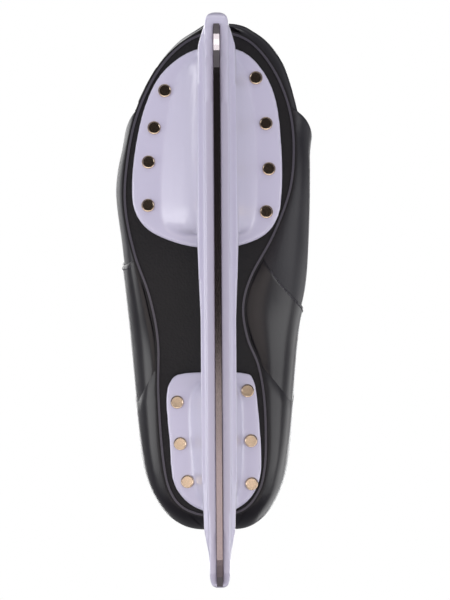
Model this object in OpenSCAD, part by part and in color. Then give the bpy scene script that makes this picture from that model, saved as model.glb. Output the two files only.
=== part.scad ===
// Ice skate, right foot: boot, riveted blade holder and steel runner.
// Toe towards -Y, medial (big toe) side towards +X, ice contact at z = 0.

/* [Boot size] */
// Length of the boot from the toe's tip to the back of the heel
boot_len = 276.5; // [225:0.1:332]
// Width of the boot at the ball of the foot
boot_w = 105.8; // [88:0.1:127]

/* [Runner] */
// Thickness of the steel runner
steel_t = 3; // [2.6:0.1:3.4]
// Set-back of the steel's front end from the holder's
steel_set_front = 7; // [4.5:0.1:9]
// Set-back of the steel's rear end from the holder's
steel_set_rear = 2.6; // [2.2:0.1:8]
// Height of steel that shows below the holder
steel_show = 14; // [10:1:18]
// Depth of the steel inside the holder
steel_hidden = 15; // [12:1:18]
// Radius of the runner's bottom along its length
rocker_r = 3400; // [2000:100:6000]

/* [Holder] */
// Width of the rail that grips the runner
rail_w = 12; // [10:0.5:14]
// Height of the rail
rail_h = 11; // [9:1:13]
// Height of the web between rail and top of the bridge
web_h = 9; // [6:1:12]
// Half width of the web at the bridge
web_half = 9.2; // [8.5:0.1:11]
// Reach of the holder ahead of its front flange
nose_reach = 13.8; // [11:0.1:16]
// Reach of the holder behind its rear flange
tail_reach = 34.8; // [31:0.1:40]
// Height of the forefoot deck above the ice
deck_front = 59; // [53:1:68]
// How much higher the heel deck is than the forefoot deck
pitch = 6; // [0:1:12]
// Thickness of the mounting flanges
flange_t = 3.5; // [3:0.1:5]

/* [Rivets] */
// Diameter of a rivet's flat head
rivet_head_d = 7.1; // [6:0.1:8.5]
// Diameter of a rivet's shank
rivet_d = 4; // [3.2:0.1:4.6]
// Diameter of the washer inside the boot
washer_d = 9.5; // [8.5:0.1:11]

/* [Sole] */
// Thickness of the outsole
outsole_t = 4; // [3:0.5:6]
// Height of the raised line round the outsole
rim_h = 0.7; // [0.4:0.1:1.2]
// Thickness of the insole board
board_t = 2.5; // [2:0.1:4]
// Thickness of the removable footbed
footbed_t = 4; // [3:0.5:6]

/* [Upper] */
// Thickness of the outer material
shell_t = 2; // [1.4:0.1:2.4]
// Thickness of an overlaid panel
overlay_t = 1.2; // [0.8:0.1:1.6]
// Thickness of the foam padding
foam_t = 4.5; // [3:0.5:6]
// Thickness of the lining cloth
lining_t = 1.2; // [0.8:0.1:1.6]
// Thickness of the tongue
tongue_t = 8; // [5:0.5:10]
// Number of eyelets on each side
eyelets = 8; // [5:1:9]
// Outer diameter of an eyelet's flange
eyelet_d = 8; // [7:0.1:9]
// Diameter of an eyelet's hole
eyelet_hole = 4.6; // [4.2:0.1:5]
// Diameter of the lace where it passes an eyelet
lace_d = 2.4; // [2:0.1:2.6]

/* [Fits] */
// Clearance on each side of the steel in its slot
slot_gap = 0.1; // [0.05:0.05:0.3]
// Radial clearance of a shank in its hole
bore_gap = 0.05; // [0.02:0.01:0.15]
// Clearance between the flanges and the outsole
seat_gap = 0.02; // [0.01:0.01:0.05]
// Gap between two layers of the boot
layer_gap = 0.35; // [0.3:0.05:0.6]
// Gap between the boot and a piece that swings
swing_gap = 1.2; // [0.8:0.1:2]

/* [Hidden] */

white_plastic = "#cfcbe4";
steel_grey = "#b1a5ae";
nickel = "#c4b1ad";
sole_black = "#1d1b21";
upper_black = "#3a3842";
cap_grey = "#2c2a32";
lining_grey = "#55535b";
fibre_tan = "#a08a6a";

// The outlines and the last are drawn for one foot and stretched to the boot's length and width
drawn_len = 276.5;
drawn_w = 105.8;
along = boot_len / drawn_len;
across = boot_w / drawn_w;
function sized(points) = [for (p = points) [p[0] * across, p[1] * along]];

flange_front = 134.8 * along;
flange_rear = 113.6 * along;
nose = flange_front + nose_reach;
tail = flange_rear + tail_reach;
steel_front = nose - steel_set_front;
steel_rear = tail - steel_set_rear;

rail_z = steel_show;
rail_top = rail_z + rail_h;
bridge_top = rail_top + web_h;
deck_rear = deck_front + pitch;
steel_top = rail_z + steel_hidden;
// The outsole ramps from the forefoot deck to the heel deck between these two places
ramp_front = -26 * along;
ramp_rear = 37 * along;

// ---- curves ----

// Point between b and c on a smooth curve through a, b, c and d
function curve(a, b, c, d, t) =
    0.5 * (2 * b + (c - a) * t + (2 * a - 5 * b + 4 * c - d) * t * t
        + (3 * b - a - 3 * c + d) * t * t * t);

// Closed smooth outline through pts, with n steps for each stretch
function closed(pts, n = 4) = let (m = len(pts)) [
    for (i = [0 : m - 1]) for (j = [0 : n - 1])
        curve(pts[(i + m - 1) % m], pts[i], pts[(i + 1) % m], pts[(i + 2) % m], j / n)
];

// The outline moved inwards by d; its points run anticlockwise seen from above
function inset(pts, d) = let (m = len(pts)) [
    for (i = [0 : m - 1])
        let (t = pts[(i + 1) % m] - pts[(i + m - 1) % m])
            pts[i] + d * [-t[1], t[0]] / norm(t)
];

// Height of the outsole's underside at y
function deck_z(y) =
    let (t = max(0, min(1, (y - ramp_front) / (ramp_rear - ramp_front))))
        deck_front + pitch * t * t * (3 - 2 * t);

// ---- outlines in plan, anticlockwise from the toe ----

sole_outline = closed(sized([
    [-2, -144.5], [13, -142], [24, -134], [34, -119], [40.5, -100], [42.3, -80], [40, -58],
    [31, -34], [19, -12], [14.8, 4], [17, 20], [22.5, 34], [25.5, 50], [26.5, 70], [25.8, 90],
    [22, 104], [13, 114], [-3, 117.5], [-19, 113.5], [-28, 103], [-32, 84], [-34.2, 50],
    [-34.2, 22], [-38.5, -2], [-46, -24], [-50.8, -48], [-50.3, -70], [-44.8, -98],
    [-33, -123], [-18, -138.5]
]));
front_flange = closed(sized([
    [-1, -134.8], [14, -132], [25, -121], [31.5, -105], [34, -82], [34.2, -60], [32, -44.5],
    [24.5, -34.3], [10, -28.6], [-6, -27.6], [-22, -30.5], [-37, -37.5], [-44.3, -48],
    [-45.6, -62], [-43.5, -82], [-38.5, -103], [-30, -120], [-16, -131.5]
]));
rear_flange = closed(sized([
    [-18, 39], [12, 39], [18.4, 43], [20.5, 55], [22.3, 80], [21.4, 96], [15.2, 107.4],
    [4, 113.6], [-8, 113], [-18.5, 107], [-25, 96], [-26.6, 76], [-28.2, 54], [-26, 43.5]
]));
front_tower = closed(sized([
    [0, -133], [9, -129], [15, -120], [18.5, -106], [20.5, -86], [20.5, -52], [18, -39],
    [10, -35.3], [-14, -35], [-25, -37], [-30, -44], [-30.4, -56], [-29, -80], [-26, -100],
    [-20.5, -119], [-11, -129.5]
]));
rear_tower = closed(sized([
    [0, 43.5], [9, 46], [11.8, 56], [12.2, 80], [10.5, 100], [5, 111], [-5, 111.5],
    [-12.5, 102], [-14.8, 80], [-15.6, 58], [-12, 46]
]));
front_rivet_spots = sized([
    [-27.8, -111.5], [-33.6, -91.8], [-36.7, -73.6], [-37.1, -50.6],
    [20.7, -118], [25.9, -93.7], [27.3, -69.6], [25.8, -46.8]
]);
rear_rivet_spots = sized([
    [-22.4, 54.4], [-20.9, 76.6], [-17.2, 96.9], [15.2, 48.6], [16.9, 75.3], [17.1, 98.3]
]);
// The two bolts that pull the runner up into the holder
bolt_spots = [-78 * along, 74 * along];
// Distance from a lug's rear end back to the middle of its bolt
bolt_back = 2.55;
bolt_d = 5;
nut_d = 7.4;
nut_flange_d = 14;

// ---- the last: the boot's outer surface ----
// Each row is one ring round the boot, from the toe's tip back to the heel and up to the collar:
// y and height of its bottom point, y and height of its top point, half widths lateral and medial
// at the widest place, half widths lateral and medial on the sole, share of the way down to the
// widest place, squareness of the top. Heights are above the outsole under the bottom point.
last_rings = [for (q = [
    [-148.9, 9, -148.9, 21, 4, 8, 2.5, 3, 0.5, 2],
    [-147.9, 4.5, -148.1, 27, 7, 14, 5, 7, 0.55, 2.2],
    [-145, 1, -145.3, 34.5, 11.5, 19.5, 8.5, 11.5, 0.6, 2.3],
    [-138, 0, -138.5, 42.5, 22, 29.3, 18, 18.5, 0.62, 2.3],
    [-125, 0, -125, 50, 33, 37.9, 30, 29, 0.62, 2.3],
    [-105, 0, -105, 56, 44.2, 44.8, 41, 38, 0.62, 2.3],
    [-85, 0, -83, 61, 51.3, 49.8, 47, 41, 0.63, 2.2],
    [-60, 0, -60, 66.5, 55.6, 50.4, 49.3, 39, 0.63, 2.1],
    [-26, 0, -42, 72, 52.6, 49.6, 44, 25, 0.62, 2],
    [4, 0, -30, 74.5, 50.3, 48, 37.5, 13.3, 0.6, 1.95],
    [34, 0, -18, 78, 48.2, 43.5, 32, 20.5, 0.57, 1.95],
    [83, 0, -6, 89, 45.2, 40.2, 30.5, 24.5, 0.54, 2],
    [108, 0, -1, 94.5, 43.7, 39, 23.5, 18, 0.53, 2],
    [120, 7, 2, 99, 44, 39, 13, 11, 0.52, 2.05],
    [124.6, 23, 5, 104, 43.5, 38.5, 8, 7, 0.51, 2.1],
    [122.5, 57, 8.5, 113, 43, 38, 6, 6, 0.5, 2.15],
    [114.5, 101, 11.5, 128, 41, 37, 6, 6, 0.48, 2.2],
    [115, 141, 12, 145, 41.5, 38, 6, 6, 0.47, 2.3],
    [119, 167, 6, 169, 42, 38.5, 6, 6, 0.47, 2.3],
    [124.5, 193, -5, 193, 42, 38.5, 6, 6, 0.47, 2.3]
]) [q[0] * along, q[1], q[2] * along, q[3], q[4] * across, q[5] * across, q[6] * across,
    q[7] * across, q[8], q[9]]];
tip_ring = 0;
collar_ring = 17;
last_ring = len(last_rings) - 1;
bottom_square = 2.2;
sole_gap = 0.2;

function ring(s) =
    let (
        i = max(0, min(last_ring - 1, floor(s))),
        q = curve(last_rings[max(i - 1, 0)], last_rings[i], last_rings[i + 1],
            last_rings[min(i + 2, last_ring)], s - i)
    ) q;

// Side view and width of one half ring: v = 0 at its top, 0.5 at its widest, 0.8 at the sole's
// edge and 1 under the middle of the foot. Returns [half width, share of the way down].
function half_ring(w, f, k, n, v) =
    v < 0.5 ? let (a = 180 * v) [w * pow(sin(a), 2 / n), k * (1 - pow(cos(a), 2 / n))]
    : v < 0.8 ? let (a = 300 * (v - 0.5))
        [f + (w - f) * pow(cos(a), 2 / bottom_square),
            k + (1 - k) * pow(sin(a), 2 / bottom_square)]
    : [f * (1 - (v - 0.8) / 0.2), 1];

// A point on the last: s is the ring, u runs from 0 at the top to 1 at the bottom on the medial
// side and to -1 on the lateral side, and past 1 it goes on round the heel.
function on_last(s, u) =
    let (
        q = ring(s),
        w = u > 1 ? u - 2 : u,
        h = half_ring(w < 0 ? q[4] : q[5], w < 0 ? q[6] : q[7], q[8], q[9], min(1, abs(w))),
        y = q[2] + (q[0] - q[2]) * h[1],
        z = q[3] + (max(0, q[1]) - q[3]) * h[1] + deck_z(q[0]) + outsole_t + sole_gap
    ) [sign(w) * h[0], y, z];

step = 0.02;
function normal_at(s, u) =
    let (
        a = max(s - step, tip_ring), b = min(s + step, last_ring),
        n = cross(on_last(s, u + step) - on_last(s, u - step), on_last(b, u) - on_last(a, u))
    ) n / norm(n);

// The same point, moved out from the last by d
function off_last(s, u, d) = on_last(s, u) + d * normal_at(s, u);

// Width of the lasting margin that turns in under the insole board, and the u that reaches it
margin = 2.2 * across;
function margin_u(s, side) = let (q = ring(s)) 0.8 + 0.2 * min(0.97, margin / q[side < 0 ? 6 : 7]);

// Closed shell between two grids of points over the same rows and columns
module shell(outer, inner, rows, cols, tip = false) {
    n = (rows + 1) * (cols + 1);
    function at(i, j) = i * (cols + 1) + j;
    skin = [for (i = [0 : rows - 1]) for (j = [0 : cols - 1])
        [at(i, j), at(i + 1, j), at(i + 1, j + 1), at(i, j + 1)]];
    out_faces = [for (f = skin) each [[f[0], f[1], f[2]], [f[0], f[2], f[3]]]];
    in_faces = [for (f = out_faces) [n + f[2], n + f[1], n + f[0]]];
    walls_j = [for (i = [0 : rows - 1]) each [
        [at(i + 1, 0), at(i, 0), n + at(i, 0)], [at(i + 1, 0), n + at(i, 0), n + at(i + 1, 0)],
        [at(i, cols), at(i + 1, cols), n + at(i + 1, cols)],
        [at(i, cols), n + at(i + 1, cols), n + at(i, cols)]]];
    end_hi = [for (j = [0 : cols - 1]) each [
        [at(rows, j + 1), at(rows, j), n + at(rows, j)],
        [at(rows, j + 1), n + at(rows, j), n + at(rows, j + 1)]]];
    end_lo = [for (j = [0 : cols - 1]) each [
        [at(0, j), at(0, j + 1), n + at(0, j + 1)],
        [at(0, j), n + at(0, j + 1), n + at(0, j)]]];
    tip_faces = concat(
        [for (j = [0 : cols - 1]) [2 * n, at(0, j), at(0, j + 1)]],
        [for (j = [0 : cols - 1]) [2 * n + 1, n + at(0, j + 1), n + at(0, j)]],
        [[2 * n, at(0, cols), n + at(0, cols)], [2 * n, n + at(0, cols), 2 * n + 1],
            [2 * n + 1, n + at(0, 0), at(0, 0)], [2 * n + 1, at(0, 0), 2 * n]]);
    middle = function(grid) let (row = [for (j = [0 : cols]) grid[at(0, j)]])
        [for (k = [0 : 2]) (max([for (p = row) p[k]]) + min([for (p = row) p[k]])) / 2];
    centres = tip ? [middle(outer), middle(inner)] : [];
    polyhedron(concat(outer, inner, centres),
        concat(out_faces, in_faces, walls_j, end_hi, tip ? tip_faces : end_lo));
}

// A panel of thickness between the offsets low and high, over the patch that the four edge
// functions bound: front(b) and back(b) give s, left(a) and right(a) give u.
module panel(front, back, left, right, low, high, rows, cols, tip = false) {
    function pt(i, j, d) =
        let (
            a = i / rows, b = j / cols,
            s = front(b) + (back(b) - front(b)) * a,
            u = left(a) + (right(a) - left(a)) * b
        ) off_last(s, u, d);
    outer = [for (i = [0 : rows]) for (j = [0 : cols]) pt(i, j, high)];
    inner = [for (i = [0 : rows]) for (j = [0 : cols]) pt(i, j, low)];
    shell(outer, inner, rows, cols, tip);
}

// Turns and moves its children so that their z axis is the last's normal at (s, u)
module standing_at(s, u, d) {
    p = off_last(s, u, d);
    n = normal_at(s, u);
    translate(p) rotate([0, acos(n[2]), atan2(n[1], n[0])]) children();
}

// ---- where the boot's panels end ----

cap_back = 5;
throat_front = 6.55;
eyestay_u = 0.17;
eyestay_w = 0.15;
tongue_u = 0.27;
top_edge = collar_ring - 0.05;
// The collar dips at the ankles and rises to the eyestays and the back
ankle_dip = 0.24;
function top_s(v) =
    let (t = max(0, min(1, (abs(v) - 0.2) / 0.75))) top_edge - ankle_dip * pow(sin(180 * t), 2);

function between(a, b, t) = a + (b - a) * t;

// Distance of the eyestay's inner edge from the middle of the throat, as u at ring s
function throat_u(s) = eyestay_u * (0.72 + 0.28 * min(1, (s - throat_front) / 6));
function eyelet_s(i) = between(throat_front + 0.75, collar_ring - 0.45, i / (eyelets - 1));
function eyelet_u(i) = throat_u(eyelet_s(i)) + 0.055;

// ---- runner ----

// Bottom of the steel at y: a long rocker with a rounded toe and heel
function steel_z(y) =
    let (r = rocker_r - sqrt(rocker_r * rocker_r - y * y))
        r + 13 * pow(max(0, -y - steel_front + 29) / 29, 2.2)
            + 6 * pow(max(0, y - steel_rear + 20.6) / 21, 2.2);

module steel_blank() {
    low = [for (y = [-steel_front : 3 : steel_rear]) [y, steel_z(y)]];
    lugs = [[-steel_front + 9, steel_top], [-steel_front, steel_top - 9]];
    polygon(concat(low, [[steel_rear, steel_z(steel_rear)], [steel_rear, steel_top - 7],
        [steel_rear - 8, steel_top]], lugs));
}

// A lug is the hook on the runner's top edge that a bolt's own hook pulls on
lug_h = 9;
lug_len = 12;
module lug(y) {
    translate([y - lug_len, steel_top - 0.5])
        polygon([[0, 0], [lug_len - 5, 0], [lug_len - 5, lug_h - 4], [lug_len, lug_h - 4],
            [lug_len, lug_h], [0, lug_h]]);
}

module along_x(w) {
    rotate([90, 0, 90]) linear_extrude(w, center = true) children();
}

// The tang inside the holder is left a little thinner than the ground steel below it
tang_relief = 0.1;
module runner() {
    color(steel_grey) {
        along_x(steel_t - 2 * tang_relief) {
            steel_blank();
            for (y = bolt_spots) lug(y);
        }
        along_x(steel_t) intersection() {
            steel_blank();
            translate([-nose, -1]) square([nose + tail, rail_z + 0.8]);
        }
    }
}

// ---- bolts and nuts that hold the runner ----

hook_z = steel_top - 0.5 + lug_h - 4 - 0.15;
module hook_bolts() {
    color(nickel) for (y = bolt_spots) {
        along_x(steel_t) translate([y - 4.8, 0])
            polygon([[0, hook_z], [0, hook_z - 3.6], [9.5, hook_z - 3.6], [9.5, hook_z + 14],
                [5.2, hook_z + 14], [5.2, hook_z]]);
        translate([0, y + bolt_back, hook_z + 13.5])
            cylinder(h = board_top(y) + 1 - hook_z - 13.5, d = bolt_d, $fn = 32);
    }
}
module bolt_nuts() {
    // The barrel goes down through the board, the filler and the outsole, almost to the holder
    nut_reach = board_high - 0.1;
    color(nickel) for (y = bolt_spots)
        translate([0, y + bolt_back, 0]) difference() {
            union() {
                translate([0, 0, board_top(y) - nut_reach])
                    cylinder(h = nut_reach, d = nut_d, $fn = 32);
                translate([0, 0, board_top(y)]) cylinder(h = 1.5, d = nut_flange_d, $fn = 48);
            }
            translate([0, 0, board_top(y) - nut_reach - 1])
                cylinder(h = nut_reach + 3, d = bolt_d + 2 * bore_gap, $fn = 32);
        }
}

// ---- holder ----

// Half width of the rail at y, and of the web above it
rail_plan = [
    [-nose, 0], [-nose + 0.3, 2.4], [-nose + 1.3, 4.3], [-nose + 3, 5.6],
    [-nose + 5, rail_w / 2],
    [0, rail_w / 2], [tail - 40, rail_w / 2], [tail - 5, rail_w / 2 - 0.9],
    [tail - 1.8, 4.2], [tail - 0.5, 2.7], [tail, 0]
];
web_plan = [
    [-nose, 0], [-nose + 0.5, 2.6], [-nose + 2.6, 5], [-nose + 9, 7.3], [-nose + 17, 9.7],
    [-nose + 37, 10], [-60 * along, 10.4], [-32 * along, 10.8], [10 * along, web_half],
    [90 * along, web_half], [tail - 29, 8], [tail - 18, 6], [tail - 4, 5], [tail - 1.2, 3],
    [tail, 0]
];
module plan(list) {
    polygon(concat([for (p = list) [p[1], p[0]]],
        [for (i = [len(list) - 1 : -1 : 0]) [-list[i][1], list[i][0]]]));
}
module rail_side() {
    polygon([[-nose + 0.2, rail_z + 9], [-nose + 2, rail_z + 5.6], [-nose + 9, rail_z + 2.6],
        [-nose + 31, rail_z + 0.3], [-nose + 47, rail_z], [tail - 29, rail_z],
        [tail - 8, rail_z + 1],
        [tail - 1.5, rail_z + 4], [tail, rail_z + 8], [tail, rail_top + 1],
        [-nose + 0.2, rail_top + 1]]);
}
module web_side() {
    low_front = deck_front - flange_t + 0.5;
    low_rear = deck_rear - flange_t + 0.5;
    polygon([[-nose, rail_top], [tail, rail_top], [tail - 2, rail_top + 3],
        [tail - 9, rail_top + 7], [tail - 21, bridge_top + 10], [tail - 30, low_rear - 3],
        [tail - 35, low_rear], [46 * along, low_rear], [45 * along, bridge_top + 12],
        [41 * along, bridge_top + 4], [34 * along, bridge_top], [-22 * along, bridge_top],
        [-28 * along, bridge_top + 3], [-33 * along, bridge_top + 11], [-36 * along, low_front],
        [-nose + 17, low_front], [-nose + 11, bridge_top + 10],
        [-nose + 4, rail_top + 7], [-nose + 1, rail_top + 3]]);
}
// A tower flares from the web up to its flange
module tower(root, top_z, mid_y) {
    levels = 7;
    n = len(root);
    low_z = rail_top + 1;
    wide = max([for (p = root) p[0]]);
    narrow = min([for (p = root) p[0]]);
    function waist(p) = [(web_half - 0.6) * (p[0] > 0 ? p[0] / wide : -p[0] / narrow),
        p[1] * 0.985 + mid_y * 0.015];
    rings = [for (i = [0 : levels]) let (t = i / levels, g = pow(t, 2.4))
        [for (p = root) let (q = p * g + waist(p) * (1 - g)) [q[0], q[1],
            low_z + (top_z - low_z) * t]]];
    points = [for (r = rings) each r];
    sides = [for (i = [0 : levels - 1]) for (j = [0 : n - 1]) let (k = (j + 1) % n) each [
        [i * n + j, (i + 1) * n + j, (i + 1) * n + k], [i * n + j, (i + 1) * n + k, i * n + k]]];
    polyhedron(points, concat(sides, [[for (j = [0 : n - 1]) j]],
        [[for (j = [n - 1 : -1 : 0]) levels * n + j]]));
}
module holder() {
    color(white_plastic) difference() {
        union() {
            intersection() {
                along_x(rail_w + 2) rail_side();
                translate([0, 0, rail_z - 5]) linear_extrude(rail_h + 20) plan(rail_plan);
            }
            intersection() {
                along_x(40) web_side();
                translate([0, 0, rail_z]) linear_extrude(deck_rear) plan(web_plan);
            }
            tower(front_tower, deck_front - flange_t + 0.2, -84 * along);
            tower(rear_tower, deck_rear - flange_t + 0.2, 78 * along);
            translate([0, 0, deck_front - flange_t]) linear_extrude(flange_t - seat_gap)
                polygon(front_flange);
            translate([0, 0, deck_rear - flange_t]) linear_extrude(flange_t - seat_gap)
                polygon(rear_flange);
        }
        // slot for the steel, with a pocket over each lug
        along_x(steel_t + 2 * slot_gap) polygon([
            [-steel_front - 0.4, rail_z - 2], [-steel_front - 0.4, steel_top - 8.6],
            [-steel_front + 8.8, steel_top + 0.3], [steel_rear - 7.8, steel_top + 0.3],
            [steel_rear + 0.4, steel_top - 6.8], [steel_rear + 0.4, rail_z - 2]]);
        for (y = bolt_spots) {
            along_x(steel_t + 2 * slot_gap)
                translate([y - lug_len - 1, steel_top - 1]) square([lug_len + 8, 20]);
            translate([0, y + bolt_back, steel_top + 12])
                cylinder(h = 60, d = nut_d + 2 * bore_gap, $fn = 32);
        }
        for (p = front_rivet_spots) rivet_hole(p, deck_front - flange_t - 1);
        for (p = rear_rivet_spots) rivet_hole(p, deck_rear - flange_t - 1);
    }
}

// ---- sole stack ----

module rivet_hole(p, z) {
    translate([p[0], p[1], z]) cylinder(h = 40, d = rivet_d + 2 * bore_gap, $fn = 32);
}
// Heights of the insole board above the deck
board_low = outsole_t + sole_gap + shell_t + 0.4;
board_high = board_low + board_t;
function board_top(y) = deck_z(y) + board_high;

// A layer of the sole between two heights above the deck, with the given outline
module layer(outline, low, high) {
    ys = [-boot_len, for (i = [0 : 12]) between(ramp_front, ramp_rear, i / 12), boot_len];
    intersection() {
        translate([0, 0, deck_front - 5]) linear_extrude(50) polygon(outline);
        along_x(2 * boot_w) polygon(concat([for (y = ys) [y, deck_z(y) + low]],
            [for (i = [len(ys) - 1 : -1 : 0]) [ys[i], deck_z(ys[i]) + high]]));
    }
}
module sole_holes(bolt_hole) {
    for (p = concat(front_rivet_spots, rear_rivet_spots)) rivet_hole(p, deck_front - 3);
    for (y = bolt_spots) translate([0, y + bolt_back, deck_front - 3])
        cylinder(h = 60, d = bolt_hole + 2 * bore_gap, $fn = 32);
}
module outsole() {
    color(sole_black) difference() {
        union() {
            layer(sole_outline, 0, outsole_t);
            difference() {
                layer(inset(sole_outline, 1), -rim_h, 1);
                layer(inset(sole_outline, 2.2), -rim_h - 1, 0.5);
            }
        }
        sole_holes(nut_d);
    }
}
module bottom_filler() {
    color(fibre_tan) difference() {
        layer(inset(sole_outline, 8), outsole_t, board_low);
        sole_holes(nut_d);
    }
}
module insole_board() {
    color(fibre_tan) difference() {
        layer(inset(sole_outline, 2.6 + shell_t), board_low, board_high);
        sole_holes(nut_d);
    }
}
module footbed() {
    base = board_high + washer_h + burr_h + 0.2;
    color(lining_grey) layer(inset(sole_outline, 7 + foam_t), base, base + footbed_t);
}

// ---- rivets ----

rivet_head_h = 1;
washer_h = 0.8;
// Height of a shank's end, spread over the washer
burr_h = 0.8;
module rivet(p, deck) {
    low = deck - flange_t;
    top = board_top(p[1]);
    translate([p[0], p[1], 0]) {
        translate([0, 0, low - rivet_head_h])
            cylinder(h = rivet_head_h, d = rivet_head_d, $fn = 40);
        translate([0, 0, low]) cylinder(h = top + washer_h - low, d = rivet_d, $fn = 32);
        translate([0, 0, top + washer_h]) cylinder(h = burr_h, d = rivet_d + 1.8, $fn = 32);
    }
}
module front_rivets() {
    color(nickel) for (p = front_rivet_spots) rivet(p, deck_front);
}
module rear_rivets() {
    color(nickel) for (p = rear_rivet_spots) rivet(p, deck_rear);
}
module rivet_washers() {
    color(nickel) for (p = concat(front_rivet_spots, rear_rivet_spots))
        translate([p[0], p[1], board_top(p[1])]) difference() {
            cylinder(h = washer_h, d = washer_d, $fn = 40);
            translate([0, 0, -1]) cylinder(h = 3, d = rivet_d + 2 * bore_gap, $fn = 32);
        }
}

// ---- upper ----

// Rear edge of the toe cap: further back over the top of the foot
function cap_edge(b) = cap_back + 0.35 * (1 - pow(abs(2 * b - 1), 2));
module toe_cap() {
    color(cap_grey) panel(
        front = function(b) tip_ring,
        back = function(b) cap_edge(b),
        left = function(a) -between(0.992, margin_u(cap_back, -1), min(1, a * 2)),
        right = function(a) between(0.992, margin_u(cap_back, 1), min(1, a * 2)),
        low = -shell_t, high = 0.1, rows = 14, cols = 26, tip = true);
}
// Ring at which the quarters' front edge lies, v away from the middle of the top
vamp_u = 0.82;
function quarter_edge(v) =
    let (t = max(0, min(1, (v - throat_u(throat_front)) / (vamp_u - throat_u(throat_front)))))
        between(throat_front + 0.3, cap_back + 0.12, pow(t, 0.8));
module vamp() {
    function u_at(b) = (2 * b - 1) * vamp_u;
    color(upper_black) panel(
        front = function(b) cap_edge(b) + 0.03,
        back = function(b) abs(u_at(b)) < throat_u(throat_front) ? throat_front
            : quarter_edge(abs(u_at(b))) - 0.06,
        left = function(a) -vamp_u, right = function(a) vamp_u,
        low = -shell_t, high = 0, rows = 6, cols = 30);
}
module quarter(side) {
    in_u = throat_u(throat_front);
    difference() {
        panel(
            front = function(b) quarter_edge(between(in_u, vamp_u, side > 0 ? b : 1 - b)),
            back = function(b) top_s(between(in_u, 0.99, side > 0 ? b : 1 - b)),
            left = function(a) side > 0 ? quarter_in(a) : -quarter_out(a, -1),
            right = function(a) side > 0 ? quarter_out(a, 1) : -quarter_in(a),
            low = shell_low, high = shell_high, rows = 30, cols = 12);
        eyelet_holes(side);
    }
}
shell_low = -shell_t;
shell_high = 0;
function quarter_in(a) = throat_u(between(throat_front + 0.3, top_edge, a));
function quarter_out(a, side) = let (s = between(cap_back + 0.12, top_edge, a))
    s < 12 ? margin_u(s, side) : min(0.994, between(margin_u(12, side), 0.994, (s - 12) / 1.2));
module eyelet_holes(side) {
    for (i = [0 : eyelets - 1])
        standing_at(eyelet_s(i), side * eyelet_u(i), -6)
            cylinder(h = 12, d = eyelet_hole + 2 * barrel_wall + 0.2, $fn = 24);
}
module lateral_quarter() {
    color(upper_black) quarter(-1);
}
module medial_quarter() {
    color(upper_black) quarter(1);
}

module eyestay(side) {
    low = shell_high + layer_gap;
    difference() {
        panel(
            front = function(b) throat_front + 0.4,
            back = function(b) top_s(eyestay_u + eyestay_w * (side > 0 ? b : 1 - b)),
            left = function(a) side > 0 ? throat_u(between(throat_front, top_edge, a))
                : -throat_u(between(throat_front, top_edge, a)) - eyestay_w,
            right = function(a) side > 0 ? throat_u(between(throat_front, top_edge, a)) + eyestay_w
                : -throat_u(between(throat_front, top_edge, a)),
            low = low, high = low + overlay_t, rows = 20, cols = 4);
        eyelet_holes(side);
    }
}
module lateral_eyestay() {
    color(cap_grey) eyestay(-1);
}
module medial_eyestay() {
    color(cap_grey) eyestay(1);
}
// Thickness of an eyelet's flange, and how far it stands clear of the curved eyestay at its middle
flange_h = 0.5;
flange_clear = 0.5;
barrel_wall = 0.4;
module eyelet_row(side) {
    top = shell_high + layer_gap + overlay_t + flange_clear;
    low = -shell_t - 0.3;
    for (i = [0 : eyelets - 1])
        standing_at(eyelet_s(i), side * eyelet_u(i), 0) difference() {
            union() {
                translate([0, 0, low])
                    cylinder(h = top + flange_h - low, d = eyelet_hole + 2 * barrel_wall, $fn = 24);
                translate([0, 0, top]) cylinder(h = flange_h, d = eyelet_d, $fn = 32);
            }
            translate([0, 0, -8]) cylinder(h = 16, d = eyelet_hole, $fn = 24);
        }
}
module lateral_eyelets() {
    color(nickel) eyelet_row(-1);
}
module medial_eyelets() {
    color(nickel) eyelet_row(1);
}

// Overlaid side panel at the arch, from the heel counter forwards; the medial one is cut away
// on a slant at its front
panel_gap = layer_gap;
panel_low = 0.735;
function panel_front(t, side) = between(side > 0 ? 10 : 8.55, 8.15, t);
function panel_back(t) = between(11.3, 9.95, t);
module side_panel(side) {
    lo = function(a) between(0.44, 0.5, a);
    hi = function(a) panel_low;
    panel(
        front = function(b) panel_front(side > 0 ? b : 1 - b, side),
        back = function(b) panel_back(side > 0 ? b : 1 - b),
        left = function(a) side > 0 ? lo(a) : -hi(a),
        right = function(a) side > 0 ? hi(a) : -lo(a),
        low = shell_high + panel_gap, high = shell_high + panel_gap + overlay_t,
        rows = 8, cols = 8);
}
module lateral_side_panel() {
    color(upper_black) side_panel(-1);
}
module medial_side_panel() {
    color(upper_black) side_panel(1);
}

// Stiff cup round the heel: u runs from the medial side through the back to the lateral side
counter_u = 0.5;
module heel_counter() {
    low = shell_high + 4.5 * panel_gap;
    color(cap_grey) panel(
        front = function(b) let (v = 1 - abs(2 * b - 1), u = between(counter_u, 1, v))
            u < 0.72 ? between(11.5, 10.15, (u - counter_u) / (0.72 - counter_u))
            : u < 0.8 ? between(10.15, 12.75, (u - 0.72) / 0.08) : 12.75,
        back = function(b) 15.2 - 1.3 * pow(abs(2 * b - 1), 2),
        left = function(a) counter_u, right = function(a) 2 - counter_u,
        low = low, high = low + overlay_t, rows = 8, cols = 36);
}
module backstay() {
    low = shell_high + panel_gap * 5 + overlay_t;
    color(upper_black) panel(
        front = function(b) 13.4, back = function(b) 16.6,
        left = function(a) 1 - between(0.16, 0.12, a),
        right = function(a) 1 + between(0.16, 0.12, a),
        low = low, high = low + overlay_t, rows = 12, cols = 6);
}

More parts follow.
